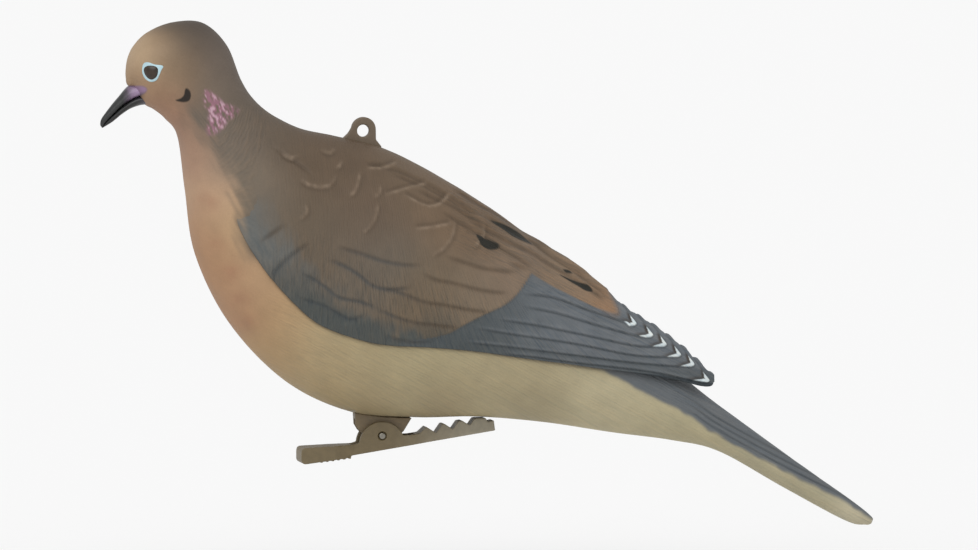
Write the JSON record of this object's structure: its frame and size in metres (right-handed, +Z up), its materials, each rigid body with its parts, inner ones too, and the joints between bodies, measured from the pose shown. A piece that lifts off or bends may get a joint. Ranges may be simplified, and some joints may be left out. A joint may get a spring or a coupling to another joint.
{
  "type": "clip-on dove decoy",
  "caption": "Hollow moulded dove decoy with folded wings, a hanging eye on the back and a sprung toothed clip under the belly for a twig or wire.",
  "frame": {"origin": "the clip's grip point, on the middle of the toothed jaw where it meets the belly", "axes": "the bird faces -X with its tail to +X, +Z up, its left side at -Y"},
  "size_m": [0.2745, 0.0681, 0.1778],
  "materials": {
    "painted_plastic": "hand-painted grey-brown, pinkish breast, blue-grey wings and tail",
    "tan_plastic": "moulded tan plastic",
    "steel": "plain zinc-plated steel"
  },
  "bodies": {
    "decoy": {"left_shell": "painted_plastic", "right_shell": "painted_plastic", "hang_tab": "painted_plastic", "clip_bracket": "tan_plastic", "bracket_screws": "steel", "torsion_spring": "steel"},
    "lever": {"clip_lever": "tan_plastic", "hinge_pin": "steel"}
  },
  "joints": [
    {"name": "clip_pivot", "type": "hinge", "parent": "decoy", "child": "lever", "pos_m": [-0.0201, 0, -0.0039], "axis": [0, 1, 0], "range_deg": [0, 35], "stiffness_Nm_per_rad": 0.12, "springref_deg": -51.57, "deforming": ["torsion_spring"]}
  ]
}
